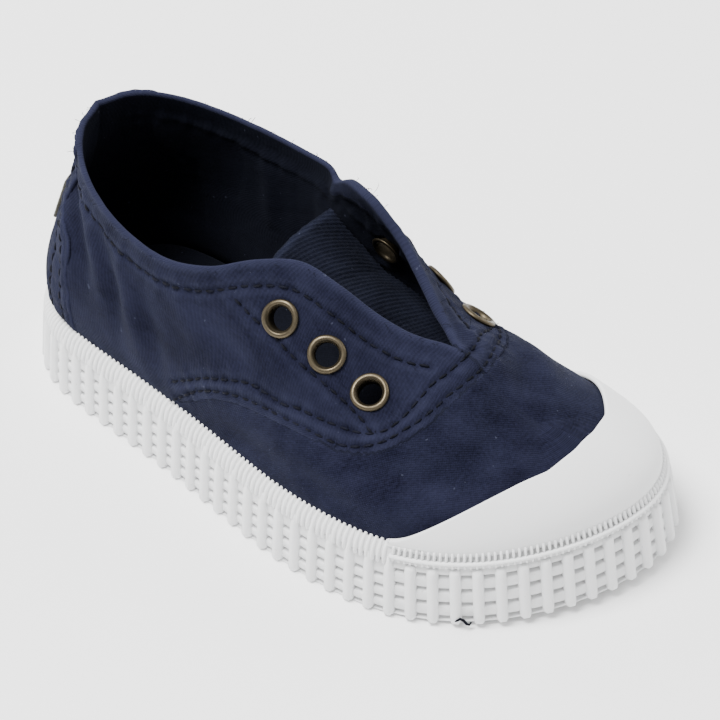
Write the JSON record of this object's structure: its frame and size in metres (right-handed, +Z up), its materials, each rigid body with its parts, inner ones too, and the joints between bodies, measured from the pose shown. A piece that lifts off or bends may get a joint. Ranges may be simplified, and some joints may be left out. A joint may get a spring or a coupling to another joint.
{
  "type": "canvas slip-on sneaker",
  "caption": "Child's right canvas slip-on sneaker with ribbed rubber cup sole, rubber toe cap, elastic throat gore and brass eyelets, standing empty on its sole.",
  "frame": {"origin": "on the floor under the middle of the shoe's bounding box", "axes": "+Z up, +Y towards the heel, -Y towards the toe, -X towards the outer (lateral) side, +X towards the inner (medial) side"},
  "size_m": [0.0766, 0.1719, 0.0676],
  "materials": {
    "rubber": "matte white rubber",
    "canvas": "navy cotton twill, slightly faded",
    "elastic": "dark navy ribbed elastic",
    "insole": "dark woven sock lining on foam",
    "brass": "antiqued, dull",
    "label": "plain dark olive woven tag"
  },
  "bodies": {
    "root": {"outsole": "rubber", "foxing_strip": "rubber", "toe_cap": "rubber", "upper": "canvas", "gore": "elastic", "insole": "insole", "heel_tag": "label", "eyelet_lateral_1": "brass", "eyelet_lateral_2": "brass", "eyelet_lateral_3": "brass", "eyelet_medial_1": "brass", "eyelet_medial_2": "brass", "eyelet_medial_3": "brass"}
  },
  "joints": []
}
